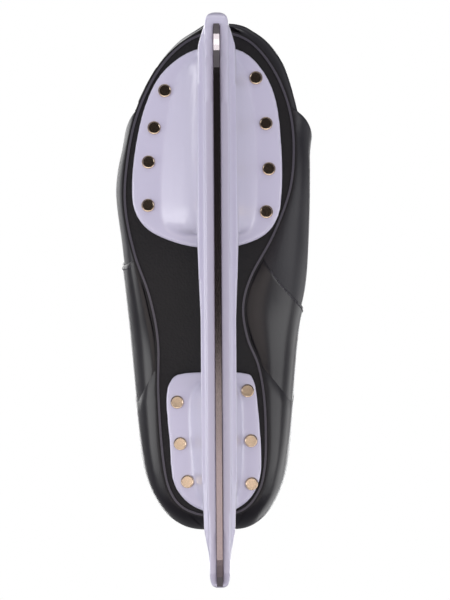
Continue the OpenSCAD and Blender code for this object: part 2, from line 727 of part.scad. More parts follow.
// The soft layers lie further apart, because they bend more tightly
soft_gap = 5.4 * layer_gap;
foam_out = -shell_t - soft_gap;
lining_out = foam_out - foam_t - soft_gap;
function inner_u(s) = s < 12 ? 0.66 : min(0.985, between(0.66, 0.985, (s - 12) / 0.9));
module padding(side) {
    in_u = tongue_u + 0.03;
    panel(
        front = function(b) 6.9,
        back = function(b) top_s(between(in_u, 1, side > 0 ? b : 1 - b)) - 0.2,
        left = function(a) side > 0 ? in_u : -inner_u(between(6.9, collar_ring, a)),
        right = function(a) side > 0 ? inner_u(between(6.9, collar_ring, a)) : -in_u,
        low = foam_out - foam_t, high = foam_out, rows = 24, cols = 10);
}
module lateral_padding() {
    color(lining_grey) padding(-1);
}
module medial_padding() {
    color(lining_grey) padding(1);
}
module lining_half(side) {
    panel(
        front = function(b) 3.4,
        back = function(b) top_s(between(tongue_u, 1, side > 0 ? b : 1 - b)) - 0.2,
        left = function(a) side > 0 ? lining_top(a) : -lining_low(a),
        right = function(a) side > 0 ? lining_low(a) : -lining_top(a),
        low = lining_out - lining_t, high = lining_out, rows = 26, cols = 10);
}
function lining_low(a) = let (s = between(3.4, collar_ring, a))
    s < 12.2 ? 0.64 : min(0.985, between(0.64, 0.985, (s - 12.2) / 0.9));
function lining_top(a) = let (s = between(3.4, collar_ring, a))
    s < 5.2 ? 0.012 : min(tongue_u + 0.03, between(0.012, tongue_u + 0.03, (s - 5.2) / 0.7));
module lining() {
    color(lining_grey) {
        lining_half(-1);
        lining_half(1);
    }
}

// Rolled edge round the collar, from the lateral throat edge past the back to the medial one
binding_r = 4.2;
module collar_binding() {
    d_mid = -(shell_t + foam_t) / 2 - 0.4;
    u0 = tongue_u + 0.04;
    steps = 36;
    sides = 10;
    path = [for (i = [0 : steps]) let (u = between(u0, 2 - u0, i / steps))
        off_last(top_s(u > 1 ? 2 - u : u) + 0.07, u, d_mid) + [0, 0, binding_r + 0.3]];
    color(cap_grey) tube(path, [for (i = [0 : steps]) binding_r], sides);
}

// A closed round tube through the points of path, with a radius at each
module tube(path, radii, sides) {
    n = len(path);
    function dir(i) = let (t = path[min(i + 1, n - 1)] - path[max(i - 1, 0)]) t / norm(t);
    up = [0.02, 0.03, 1];
    rings = [for (i = [0 : n - 1])
        let (t = dir(i), a = cross(t, up) / norm(cross(t, up)), b = cross(a, t))
        [for (k = [0 : sides - 1])
            path[i] + radii[i] * (cos(360 * k / sides) * a + sin(360 * k / sides) * b)]];
    faces = [for (i = [0 : n - 2]) for (k = [0 : sides - 1]) let (m = (k + 1) % sides) each [
        [(i + 1) * sides + m, (i + 1) * sides + k, i * sides + k],
        [i * sides + m, (i + 1) * sides + m, i * sides + k]]];
    polyhedron([for (r = rings) each r], concat(faces, [[for (k = [sides - 1 : -1 : 0]) k]],
        [[for (k = [0 : sides - 1]) (n - 1) * sides + k]]));
}

// ---- tongue and lace ----

tongue_out = -shell_t - 3.6;
tongue_end = collar_ring - 0.2;
module tongue() {
    color(upper_black) panel(
        front = function(b) throat_front - 0.25, back = function(b) tongue_end,
        left = function(a) -tongue_u * between(0.8, 1, a),
        right = function(a) tongue_u * between(0.8, 1, a),
        low = tongue_out - tongue_t, high = tongue_out, rows = 20, cols = 10);
}
module tongue_top() {
    start = tongue_end + swing_gap / 17;
    color(upper_black) panel(
        front = function(b) start,
        back = function(b) last_ring - 0.1 - 0.5 * pow(abs(2 * b - 1), 3),
        left = function(a) -tongue_u, right = function(a) tongue_u,
        low = tongue_out - tongue_t, high = tongue_out, rows = 8, cols = 10);
}

// Height of the lace above the last where it runs over and under the eyestay
over = shell_high + layer_gap + overlay_t + 1 + lace_d / 2 + 0.2;
under = -shell_t - 0.2 - lace_d / 2 - 0.2;
// Points of one crossing, from eyelet i on one side to the underside of eyelet i + 1 on the other
function crossing(i, side, mid) =
    let (s0 = eyelet_s(i), s1 = eyelet_s(i + 1),
        u0 = side * eyelet_u(i), u1 = -side * eyelet_u(i + 1),
        e0 = side * throat_u(s0), e1 = -side * throat_u(s1)) [
        off_last(s0, u0, 0), off_last(s0, u0, over - 0.3),
        off_last(s0 + (s1 - s0) * 0.12, u0 * 0.86, over),
        off_last(s0 + (s1 - s0) * 0.25, e0 * 0.86, over - 0.9),
        off_last(between(s0, s1, 0.5), 0, mid),
        off_last(between(s0, s1, 0.75), e1 * 0.75, under + 0.1),
        off_last(s1 - (s1 - s0) * 0.1, u1 * 0.9, under),
        off_last(s1, u1, under + 0.4)];
lace_half = function(side) [
    for (i = [0 : eyelets - 2]) let (s = side * (i % 2 == 0 ? 1 : -1))
        each crossing(i, s, side > 0 ? over - 1.6 : under + 0.9)];
module laces() {
    s0 = eyelet_s(0);
    color("white") for (side = [-1, 1]) {
        bar = [for (k = [0 : 3])
            off_last(s0 - 0.02, side * (0.004 + k / 3 * 0.9 * eyelet_u(0)), under)];
        path = concat(bar, [off_last(s0, side * eyelet_u(0), under + 0.4)], lace_half(side));
        tube(path, [for (p = path) lace_d / 2], 8);
    }
}

// ---- tendon guard ----

// The guard and its pad are as wide at the top as at the bottom, with rounded corners
function guard_low(b) = collar_ring + 0.45 + 0.2 * pow(abs(2 * b - 1), 6);
function guard_high(b) = last_ring - 0.05 - 0.45 * pow(abs(2 * b - 1), 4);
module tendon_guard() {
    u0 = 0.68;
    color(upper_black) panel(
        front = function(b) guard_low(b),
        back = function(b) guard_high(b),
        left = function(a) between(u0, u0 + 0.02, a),
        right = function(a) 2 - between(u0, u0 + 0.02, a),
        low = -shell_t, high = 1, rows = 8, cols = 14);
}
module tendon_guard_pad() {
    u0 = 0.7;
    color(lining_grey) panel(
        front = function(b) guard_low(b) + 0.05,
        back = function(b) guard_high(b) - 0.1,
        left = function(a) between(u0, u0 + 0.02, a),
        right = function(a) 2 - between(u0, u0 + 0.02, a),
        low = -shell_t - 2 * layer_gap - 5, high = -shell_t - 2 * layer_gap, rows = 8, cols = 14);
}

runner();
holder();
hook_bolts();
bolt_nuts();
outsole();
bottom_filler();
insole_board();
footbed();
front_rivets();
rear_rivets();
rivet_washers();
toe_cap();
vamp();
lateral_quarter();
medial_quarter();
lateral_eyestay();
medial_eyestay();
lateral_eyelets();
medial_eyelets();
lateral_side_panel();
medial_side_panel();
heel_counter();
backstay();
lateral_padding();
medial_padding();
lining();
collar_binding();
tongue();
laces();
tendon_guard();
tendon_guard_pad();
tongue_top();
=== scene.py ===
import math
import bmesh
import bpy
from mathutils import Matrix, Vector


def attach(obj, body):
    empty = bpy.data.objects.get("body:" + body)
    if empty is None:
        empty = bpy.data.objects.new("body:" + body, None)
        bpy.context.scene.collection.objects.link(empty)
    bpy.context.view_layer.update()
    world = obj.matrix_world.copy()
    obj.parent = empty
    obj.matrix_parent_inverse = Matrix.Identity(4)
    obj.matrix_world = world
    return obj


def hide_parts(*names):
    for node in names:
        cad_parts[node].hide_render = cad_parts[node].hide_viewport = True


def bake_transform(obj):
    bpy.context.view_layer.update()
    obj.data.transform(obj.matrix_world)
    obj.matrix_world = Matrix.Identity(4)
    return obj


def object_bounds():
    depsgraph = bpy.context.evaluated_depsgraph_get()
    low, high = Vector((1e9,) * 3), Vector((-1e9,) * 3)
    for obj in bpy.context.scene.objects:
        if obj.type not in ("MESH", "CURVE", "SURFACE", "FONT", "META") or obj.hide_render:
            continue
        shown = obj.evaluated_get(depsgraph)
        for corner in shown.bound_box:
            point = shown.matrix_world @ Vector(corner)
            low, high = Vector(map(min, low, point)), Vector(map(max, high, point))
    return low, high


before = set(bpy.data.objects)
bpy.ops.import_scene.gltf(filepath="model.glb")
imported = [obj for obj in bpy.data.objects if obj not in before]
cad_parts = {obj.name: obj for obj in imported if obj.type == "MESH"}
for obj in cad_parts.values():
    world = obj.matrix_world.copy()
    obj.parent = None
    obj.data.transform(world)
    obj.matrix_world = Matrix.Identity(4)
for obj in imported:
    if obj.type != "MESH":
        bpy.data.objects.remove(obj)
cad_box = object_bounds()

# ---- camera ----
# A long lens straight under the blade, with the toe at the top of the view.
camera_data = bpy.data.cameras.new("camera")
camera_data.lens = 120
camera_data.sensor_width = 36
camera_data.clip_end = 20
camera = bpy.data.objects.new("camera", camera_data)
camera.location = (0.0035, 0, -1.008)
camera.rotation_euler = (math.pi, 0, math.radians(0.38))
bpy.context.scene.collection.objects.link(camera)
bpy.context.scene.camera = camera

# ---- floor and light ----
# A plain pale floor that shows from above only and neither shades, mirrors nor tints the skate.
# Soft boxes stand over it, and soft boxes under it light the sole.


def linear(colour):
    """An sRGB hex colour as linear red, green and blue."""
    parts = [int(colour[i:i + 2], 16) / 255 for i in (1, 3, 5)]
    return [c / 12.92 if c <= 0.04045 else ((c + 0.055) / 1.055) ** 2.4 for c in parts]


def add(tree, kind, values=None, links=None, **settings):
    """Adds a node with its settings, its sockets' values and the links into it."""
    made = tree.nodes.new(kind)
    for name, value in settings.items():
        setattr(made, name, value)
    for socket, value in (values or {}).items():
        made.inputs[socket].default_value = value
    for socket, source in (links or {}).items():
        tree.links.new(source, made.inputs[socket])
    return made


def surface(name, colour, roughness, **sockets):
    """A material with one shader, its colour and its roughness; returns it, its tree and shader."""
    material = bpy.data.materials.new(name)
    material.use_nodes = True
    shader = material.node_tree.nodes["Principled BSDF"]
    shader.inputs["Base Color"].default_value = (*linear(colour), 1)
    shader.inputs["Roughness"].default_value = roughness
    for socket, value in sockets.items():
        shader.inputs[socket.replace("_", " ")].default_value = value
    return material, material.node_tree, shader


floor_mesh = bmesh.new()
bmesh.ops.create_grid(floor_mesh, x_segments=1, y_segments=1, size=4)
bmesh.ops.translate(floor_mesh, verts=floor_mesh.verts, vec=(0, 0, cad_box[0][2] - 0.0002))
floor_data = bpy.data.meshes.new("floor")
floor_mesh.to_mesh(floor_data)
floor = bpy.data.objects.new("floor", floor_data)
floor.visible_shadow = False
floor.visible_glossy = False
floor.visible_diffuse = False
bpy.context.scene.collection.objects.link(floor)
floor_paint, tree, shader = surface("pale_matt_floor", "#e9e8ea", 0.9,
                                    Emission_Color=(1, 1, 1, 1), Emission_Strength=0.22)
side = add(tree, "ShaderNodeNewGeometry")
clear = add(tree, "ShaderNodeBsdfTransparent")
one_sided = add(tree, "ShaderNodeMixShader",
                links={0: side.outputs["Backfacing"], 1: shader.outputs[0], 2: clear.outputs[0]})
tree.links.new(one_sided.outputs[0], tree.nodes["Material Output"].inputs["Surface"])
floor_data.materials.append(floor_paint)

world = bpy.data.worlds.new("studio")
bpy.context.scene.world = world
world.use_nodes = True
tree = world.node_tree
tree.nodes["Background"].inputs["Color"].default_value = (0.80, 0.79, 0.83, 1)
tree.nodes["Background"].inputs["Strength"].default_value = 0.25
backdrop = add(tree, "ShaderNodeBackground", {"Color": (1, 1, 1, 1), "Strength": 1.0})
seen = add(tree, "ShaderNodeLightPath")
both = add(tree, "ShaderNodeMixShader", links={
    0: seen.outputs["Is Camera Ray"], 1: tree.nodes["Background"].outputs[0],
    2: backdrop.outputs[0]})
tree.links.new(both.outputs[0], tree.nodes["World Output"].inputs["Surface"])
bpy.context.scene.view_settings.view_transform = "Standard"


def soft_box(name, place, width, length, power, colour="#ffffff", mirrored=True):
    """A rectangular light at a place in metres that faces the middle of the skate."""
    lamp = bpy.data.lights.new(name, "AREA")
    lamp.shape = "RECTANGLE"
    lamp.size = width
    lamp.size_y = length
    lamp.energy = power
    lamp.color = linear(colour)
    made = bpy.data.objects.new(name, lamp)
    made.location = place
    aim = Vector((0, 0, 0.1)) - Vector(place)
    made.rotation_euler = aim.to_track_quat("-Z", "Y").to_euler()
    made.visible_glossy = mirrored
    bpy.context.scene.collection.objects.link(made)


soft_box("under_left", (-1.25, 0.15, -0.5), 0.6, 1.5, 9.5)
soft_box("under_right", (1.25, 0.25, -0.5), 0.6, 1.5, 7.5)
soft_box("under_toe", (0, -1.4, -0.45), 1.0, 0.5, 3.5)
soft_box("under_fill", (0, 0, -1.1), 1.6, 1.6, 6.8, "#f4f3ff", mirrored=False)
soft_box("over_left", (-1.1, -0.7, 1.2), 1.5, 1.5, 15)
soft_box("over_right", (1.3, 0.8, 1.3), 1.5, 1.5, 8)
soft_box("over_top", (0, 0, 1.9), 1.2, 1.2, 14)



def card(name, half, low_y, high_y, depth, colour, glow):
    """A card that the metal mirrors, below the camera; glow is its own emission, painted light; its
    places and sizes are in metres.
    """
    bm = bmesh.new()
    bmesh.ops.create_grid(bm, x_segments=1, y_segments=1, size=0.5)
    bmesh.ops.scale(bm, verts=bm.verts, vec=(2 * half, high_y - low_y, 1))
    bmesh.ops.translate(bm, verts=bm.verts, vec=(0, (low_y + high_y) / 2, -depth))
    data = bpy.data.meshes.new(name)
    bm.to_mesh(data)
    made = bpy.data.objects.new(name, data)
    bpy.context.scene.collection.objects.link(made)
    data.materials.append(surface(name, colour, 0.9, Emission_Color=(*linear(colour), 1),
                                  Emission_Strength=glow)[0])


# dark under the toe's half, and grey and bright under the heel's half; the grey strip and the
# bright card glow as painted light for the steel to mirror
card("dark_card", 0.6, -0.6, 0.09, 1.15, "#1a1412", 0.0)
card("dark_strip", 0.028, 0.09, 0.21, 1.14, "#1a1412", 0.0)
card("grey_strip", 0.028, 0.21, 2.2, 1.14, "#8d8183", 0.9)
card("bright_card", 0.6, 0.10, 0.8, 1.16, "#efe3da", 1.0)

# ---- outsole ----
# One moulded plate of black composition rubber under the whole boot, finely pebbled, with a thin
# raised line near its edge. It steps up 6 mm from the ball to the heel.
metre = 0.001
sole_thick = 4
line_high = 0.7
deck_front = 59
heel_rise = 6
ramp = (-26, 37)


def between(a, b, t):
    return a + (b - a) * t


def clamp(t):
    return max(0.0, min(1.0, t))


def curve(a, b, c, d, t):
    """A point between b and c on the smooth curve through a, b, c and d."""
    return 0.5 * (2 * b + (c - a) * t + (2 * a - 5 * b + 4 * c - d) * t * t
                  + (3 * b - a - 3 * c + d) * t * t * t)


def closed(points, steps=8):
    """A closed smooth outline through the points."""
    points = [Vector(p) for p in points]
    count = len(points)
    return [curve(points[i - 1], points[i], points[(i + 1) % count], points[(i + 2) % count],
                  k / steps) for i in range(count) for k in range(steps)]


def inset(outline, distance):
    """The outline moved inwards; it runs anticlockwise seen from above."""
    count = len(outline)
    moved = []
    for i, p in enumerate(outline):
        run = (outline[(i + 1) % count] - outline[i - 1]).normalized()
        moved.append(p + distance * Vector((-run.y, run.x)))
    return moved


def deck_z(y):
    """Height of the sole's underside above the ice at y."""
    t = clamp((y - ramp[0]) / (ramp[1] - ramp[0]))
    return deck_front + heel_rise * t * t * (3 - 2 * t)


def on_deck(bm, fixed=None):
    """Cuts a flat plate across the ramp and lifts it from height 0 onto the deck."""
    if fixed is None:
        for i in range(25):
            cut = between(*ramp, i / 24)
            bmesh.ops.bisect_plane(bm, geom=bm.verts[:] + bm.edges[:] + bm.faces[:],
                                   plane_co=(0, cut, 0), plane_no=(0, 1, 0))
    for v in bm.verts:
        v.co.z += deck_z(v.co.y) if fixed is None else fixed


def plate(bm, outline, low, high, fixed=None):
    """A plate with the given outline between two heights above the deck."""
    part = bmesh.new()
    part.faces.new([part.verts.new((p.x, p.y, low)) for p in outline])
    lifted = bmesh.ops.extrude_face_region(part, geom=part.faces[:])
    bmesh.ops.translate(part, vec=(0, 0, high - low),
                        verts=[g for g in lifted["geom"] if isinstance(g, bmesh.types.BMVert)])
    on_deck(part, fixed)
    bmesh.ops.recalc_face_normals(part, faces=part.faces[:])
    put_in(bm, part)


def put_in(bm, part):
    """Moves a finished part into the mesh that gathers a piece."""
    data = bpy.data.meshes.new("part")
    part.to_mesh(data)
    part.free()
    bm.from_mesh(data)
    bpy.data.meshes.remove(data)


def outline_ring(bm, outer, inner, low, high):
    """A raised line between two outlines, between two heights above the deck."""
    part = bmesh.new()
    edges = []
    for outline in (outer, inner):
        loop = [part.verts.new((p.x, p.y, low)) for p in outline]
        edges += [part.edges.new((loop[i - 1], loop[i])) for i in range(len(loop))]
    flat = bmesh.ops.bridge_loops(part, edges=edges)["faces"]
    lifted = bmesh.ops.extrude_face_region(part, geom=flat)
    bmesh.ops.translate(part, vec=(0, 0, high - low),
                        verts=[g for g in lifted["geom"] if isinstance(g, bmesh.types.BMVert)])
    on_deck(part)
    bmesh.ops.recalc_face_normals(part, faces=part.faces[:])
    put_in(bm, part)


def finish_piece(name, bm, material, slot, *nodes, body="boot", smooth=35):
    """Turns a mesh in millimetres into a piece of the skate that rides on a body."""
    bmesh.ops.scale(bm, verts=bm.verts, vec=(metre, metre, metre))
    data = bpy.data.meshes.new(name)
    bm.to_mesh(data)
    bm.free()
    made = bpy.data.objects.new(name, data)
    bpy.context.scene.collection.objects.link(made)
    data.materials.append(material)
    data.shade_smooth()
    data.set_sharp_from_angle(angle=math.radians(smooth))
    if body:
        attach(made, body)
    if nodes:
        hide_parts(*nodes)
    return made


def round_edges(made, width, segments=2, angle=40):
    """Rounds the sharp edges of a piece by a width in millimetres."""
    rounding = made.modifiers.new("rounded", "BEVEL")
    rounding.width = width * metre
    rounding.segments = segments
    rounding.limit_method = "ANGLE"
    rounding.angle_limit = math.radians(angle)
    rounding.use_clamp_overlap = True


def repaint(material, *nodes):
    """Gives nodes that keep their CAD shape a material."""
    for node in nodes:
        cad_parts[node].data.materials.clear()
        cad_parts[node].data.materials.append(material)


def texture(tree, kind, size, values=None, **settings):
    """A texture fixed to the piece, with features of a size in millimetres."""
    place = add(tree, "ShaderNodeTexCoord")
    return add(tree, kind, {"Scale": 1000 / size, **(values or {})},
               {"Vector": place.outputs["Object"]}, **settings)


def bumped(tree, shader, height, distance, strength=1.0):
    """Feeds a height into the shader's normal; distance is the relief in millimetres."""
    relief = add(tree, "ShaderNodeBump", {"Distance": distance * metre, "Strength": strength},
                 {"Height": height})
    tree.links.new(relief.outputs[0], shader.inputs["Normal"])


# composition rubber, moulded against a pebbled tool: matt black with small soft glints
pebbled_rubber, tree, shader = surface("pebbled_rubber_black", "#111014", 0.6)
pebble = texture(tree, "ShaderNodeTexVoronoi", 1.3, {"Randomness": 0.9}, feature="SMOOTH_F1")
bumped(tree, shader, pebble.outputs["Distance"], 0.35, 0.5)

# the same rubber along the raised line, less rough where the mould is polished, and painted a
# lighter grey as a painted highlight
rubber_with_painted_highlight = surface("polished_rubber_painted_highlight", "#4b4851", 0.4)[0]

sole_outline = closed([
    (-2, -144.5), (13, -142), (24, -134), (34, -119), (40.5, -100), (42.3, -80), (40, -58),
    (31, -34), (19, -12), (14.8, 4), (17, 20), (22.5, 34), (25.5, 50), (26.5, 70), (25.8, 90),
    (22, 104), (13, 114), (-3, 117.5), (-19, 113.5), (-28, 103), (-32, 84), (-34.2, 50),
    (-34.2, 22), (-38.5, -2), (-46, -24), (-50.8, -48), (-50.3, -70), (-44.8, -98),
    (-33, -123), (-18, -138.5)])
bm = bmesh.new()
plate(bm, sole_outline, 0, sole_thick)
outsole = finish_piece("outsole_plate", bm, pebbled_rubber, "outsole_material", "outsole")
round_edges(outsole, 0.9, 3, 60)

# the raised line is painted lighter grey than the sole: a painted highlight along its edge
bm = bmesh.new()
outline_ring(bm, inset(sole_outline, 1), inset(sole_outline, 2.2), -line_high, 0.3)
sole_line = finish_piece("outsole_raised_line", bm, rubber_with_painted_highlight, "outsole_material")
round_edges(sole_line, 0.35, 2)

# ---- blade holder ----
# One moulding of white nylon: a rail that grips the steel, a web, two towers, a bridge with a
# window under the arch, and two flanges riveted to the sole. All its edges are soft.


def solid(made):
    """Applies the live modifiers of a piece to its mesh."""
    data = bpy.data.meshes.new_from_object(
        made.evaluated_get(bpy.context.evaluated_depsgraph_get()))
    made.modifiers.clear()
    made.data = data


bm = bmesh.new()
bm.from_mesh(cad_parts["holder"].data)
bmesh.ops.remove_doubles(bm, verts=bm.verts, dist=0.00001)
bmesh.ops.scale(bm, verts=bm.verts, vec=(1000, 1000, 1000))
# moulded nylon, near white with a cool violet cast, under a thin gloss
white_nylon = surface("moulded_nylon_white", "#d0cde1", 0.28, Coat_Weight=0.35,
                      Coat_Roughness=0.12)[0]
holder = finish_piece("holder_moulding", bm, white_nylon, "holder_plastic", "holder")
skin = holder.modifiers.new("skin", "REMESH")
skin.mode = "VOXEL"
skin.voxel_size = 1.0 * metre
skin.use_smooth_shade = True
soften = holder.modifiers.new("soften", "SMOOTH")
soften.factor = 0.5
soften.iterations = 2
solid(holder)
holder.data.materials.clear()
holder.data.materials.append(white_nylon)
holder.data.shade_smooth()

# ---- runner ----
# A strip of hardened stainless steel 3 mm thick, ground lengthways.
ground_steel, tree, shader = surface("ground_stainless_steel", "#b9b0b4", 0.13, Metallic=1.0)
place = add(tree, "ShaderNodeTexCoord")
stretch = add(tree, "ShaderNodeMapping", {"Scale": (1000 / 0.6, 1000 / 30, 1000 / 0.6)},
              {"Vector": place.outputs["Object"]})
grind = add(tree, "ShaderNodeTexNoise", {"Scale": 1.0, "Detail": 4.0, "Roughness": 0.6},
            {"Vector": stretch.outputs[0]})
bumped(tree, shader, grind.outputs["Fac"], 0.02, 0.2)
repaint(ground_steel, "runner")

# ---- bolts and nuts ----
# Zinc plated steel: two hooked bolts that pull the runner up and their barrel nuts.
repaint(surface("zinc_plated_steel", "#b7b4b0", 0.35, Metallic=1.0)[0],
        "hook_bolts", "bolt_nuts", "rivet_washers")

# ---- rivets ----
# Nickel plated steel rivets with flat faces and rolled rims: eight through the front flange
# and six through the rear one, set over washers inside the boot.
head_d = 7.1
head_h = 1.0
flange_thick = 3.5
board_low = sole_thick + 0.2 + 2 + 0.4
board_high = board_low + 2.5


def turned(bm, profile, steps=28):
    """A closed turned shape about the z axis from a profile of (radius, height)."""
    part = bmesh.new()
    line = [part.verts.new((r, 0, z)) for r, z in profile]
    edges = [part.edges.new((line[i], line[i + 1])) for i in range(len(line) - 1)]
    bmesh.ops.spin(part, geom=line + edges, angle=math.tau, steps=steps, axis=(0, 0, 1),
                   cent=(0, 0, 0), use_merge=True)
    bmesh.ops.remove_doubles(part, verts=part.verts, dist=0.0001)
    bmesh.ops.recalc_face_normals(part, faces=part.faces[:])
    return part


# nickel plate over steel, with the fine uneven relief that tumbling leaves
nickel_plate, tree, shader = surface("nickel_plated_steel", "#d8c6b0", 0.16, Metallic=1.0)
wear = texture(tree, "ShaderNodeTexNoise", 1.2, {"Detail": 5.0})
bumped(tree, shader, wear.outputs["Fac"], 0.03, 0.3)

front_spots = [(-27.8, -111.5), (-33.6, -91.8), (-36.7, -73.6), (-37.1, -50.6),
               (20.7, -118), (25.9, -93.7), (27.3, -69.6), (25.8, -46.8)]
rear_spots = [(-22.4, 54.4), (-20.9, 76.6), (-17.2, 96.9), (15.2, 48.6), (16.9, 75.3),
              (17.1, 98.3)]
for name, spots in (("front_rivets", front_spots), ("rear_rivets", rear_spots)):
    bm = bmesh.new()
    for x, y in spots:
        low = deck_z(y) - flange_thick
        top = deck_z(y) + board_high + 1.6
        part = turned(bm, [
            (0, low - head_h + 0.12), (head_d / 2 - 0.7, low - head_h + 0.1),
            (head_d / 2 - 0.55, low - head_h), (head_d / 2 - 0.25, low - head_h + 0.06),
            (head_d / 2 - 0.06, low - head_h + 0.3), (head_d / 2, low - 0.35),
            (head_d / 2, low), (2, low + 0.01), (2, top - 0.8), (2.9, top - 0.79),
            (2.6, top - 0.1), (0, top)])
        bmesh.ops.translate(part, verts=part.verts, vec=(x, y, 0))
        put_in(bm, part)
    finish_piece(name + "_set", bm, nickel_plate, "nickel", name, smooth=25)

# ---- the shape that the upper is stretched over ----
# The last, as rings from the toe's tip to the collar. Each ring holds the y and height of its
# bottom and top, half widths lateral and medial at the widest place and on the sole, the share of
# the way down to the widest place, and the squareness of the top.
last_rings = [
    (-148.9, 9, -148.9, 21, 4, 8, 2.5, 3, 0.5, 2),
    (-147.9, 4.5, -148.1, 27, 7, 14, 5, 7, 0.55, 2.2),
    (-145, 1, -145.3, 34.5, 11.5, 19.5, 8.5, 11.5, 0.6, 2.3),
    (-138, 0, -138.5, 42.5, 22, 29.3, 18, 18.5, 0.62, 2.3),
    (-125, 0, -125, 50, 33, 37.9, 30, 29, 0.62, 2.3),
    (-105, 0, -105, 56, 44.2, 44.8, 41, 38, 0.62, 2.3),
    (-85, 0, -83, 61, 51.3, 49.8, 47, 41, 0.63, 2.2),
    (-60, 0, -60, 66.5, 55.6, 50.4, 49.3, 39, 0.63, 2.1),
    (-26, 0, -42, 72, 52.6, 49.6, 44, 25, 0.62, 2),
    (4, 0, -30, 74.5, 50.3, 48, 37.5, 13.3, 0.6, 1.95),
    (34, 0, -18, 78, 48.2, 43.5, 32, 20.5, 0.57, 1.95),
    (83, 0, -6, 89, 45.2, 40.2, 30.5, 24.5, 0.54, 2),
    (108, 0, -1, 94.5, 43.7, 39, 23.5, 18, 0.53, 2),
    (120, 7, 2, 99, 44, 39, 13, 11, 0.52, 2.05),
    (124.6, 23, 5, 104, 43.5, 38.5, 8, 7, 0.51, 2.1),
    (122.5, 57, 8.5, 113, 43, 38, 6, 6, 0.5, 2.15),
    (114.5, 101, 11.5, 128, 41, 37, 6, 6, 0.48, 2.2),
    (115, 141, 12, 145, 41.5, 38, 6, 6, 0.47, 2.3),
    (119, 167, 6, 169, 42, 38.5, 6, 6, 0.47, 2.3),
    (124.5, 193, -5, 193, 42, 38.5, 6, 6, 0.47, 2.3)]
collar_ring = 17
last_ring = len(last_rings) - 1
sole_gap = 0.2
bottom_square = 2.2


def ring(s):
    i = int(max(0, min(last_ring - 1, math.floor(s))))
    rows = [last_rings[max(i - 1, 0)], last_rings[i], last_rings[i + 1],
            last_rings[min(i + 2, last_ring)]]
    return [curve(*column, s - i) for column in zip(*rows)]


def half_ring(wide, foot, drop, square, v):
    """Half width and share of the way down, from the top (0) past the widest (0.5) to 1."""
    if v < 0.5:
        turn = math.pi * v
        return (wide * max(0, math.sin(turn)) ** (2 / square),
                drop * (1 - max(0, math.cos(turn)) ** (2 / square)))
    if v < 0.8:
        turn = math.pi * (v - 0.5) / 0.6
        return (foot + (wide - foot) * max(0, math.cos(turn)) ** (2 / bottom_square),
                drop + (1 - drop) * max(0, math.sin(turn)) ** (2 / bottom_square))
    return foot * (1 - (v - 0.8) / 0.2), 1


def on_last(s, u):
    """A point of the upper: s is the ring; u is 0 on top, 1 at the bottom or back, + medial."""
    low_y, low, top_y, top, lateral, medial, lateral_foot, medial_foot, drop, square = ring(s)
    w = u - 2 if u > 1 else u
    half, down = half_ring(lateral if w < 0 else medial, lateral_foot if w < 0 else medial_foot,
                           drop, square, min(1, abs(w)))
    return Vector((math.copysign(half, w), top_y + (low_y - top_y) * down,
                   top + (max(0, low) - top) * down + deck_z(low_y) + sole_thick + sole_gap))


def normal_at(s, u):
    step = 0.02
    across = on_last(s, u + step) - on_last(s, u - step)
    along = on_last(min(s + step, last_ring), u) - on_last(max(s - step, 0), u)
    return across.cross(along).normalized()


def off_last(s, u, stand):
    return on_last(s, u) + stand * normal_at(s, u)


def sheet_over(bm, front, back, left, right, stand, rows, cols):
    """A sheet over the last between four edges; stand gives how far it stands off it."""
    part = bmesh.new()
    bmesh.ops.create_grid(part, x_segments=rows, y_segments=cols, size=0.5)
    for v in part.verts:
        a, b = v.co.x + 0.5, v.co.y + 0.5
        s = between(front(b), back(b), a)
        u = between(left(a), right(a), b)
        v.co = off_last(s, u, stand(a, b) if callable(stand) else stand)
    bmesh.ops.reverse_faces(part, faces=part.faces[:])
    put_in(bm, part)


def side_sheet(bm, side, front, back, inner, outer, stand, rows, cols):
    """A sheet on one side of the last; its edges run outwards from the throat, on either side."""
    def outwards(b):
        return b if side > 0 else 1 - b

    sheet_over(bm, lambda b: front(outwards(b)), lambda b: back(outwards(b)),
               lambda a: inner(a) if side > 0 else -outer(a),
               lambda a: outer(a) if side > 0 else -inner(a),
               (lambda a, b: stand(a, outwards(b))) if callable(stand) else stand, rows, cols)


def thick(made, thickness, edge=0.5):
    """Gives a sheet its thickness inwards and rounds its cut edges."""
    wall = made.modifiers.new("wall", "SOLIDIFY")
    wall.thickness = thickness * metre
    wall.offset = -1
    wall.use_even_offset = False
    round_edges(made, edge, 2, 50)


# ---- toe cap ----
# A hard cap moulded of glossy black plastic with a faint leather grain; a lip runs round it
# where it meets the sole.
cap_back = 5
shell_thick = 2
margin = 2.2


def margin_u(s, side):
    """How far under the foot the upper is turned in, as u."""
    return 0.8 + 0.2 * min(0.97, margin / ring(s)[6 if side < 0 else 7])


def cap_edge(b):
    return cap_back + 0.35 * (1 - (2 * b - 1) ** 2)


def cap_stand(a, b):
    """A lip runs round the cap near the sole, and it draws in where the quarters lap over it."""
    lip = 0.7 * math.exp(-((abs(2 * b - 1) - 0.765) / 0.018) ** 2)
    return lip - 0.2 - 1.6 * clamp((a - 0.75) / 0.25)


black_plastic, tree, shader = surface("moulded_plastic_black", "#211f25", 0.34, Coat_Weight=0.3,
                                      Coat_Roughness=0.15)
grain = texture(tree, "ShaderNodeTexVoronoi", 1.1, feature="SMOOTH_F1")
bumped(tree, shader, grain.outputs["Distance"], 0.08, 0.25)

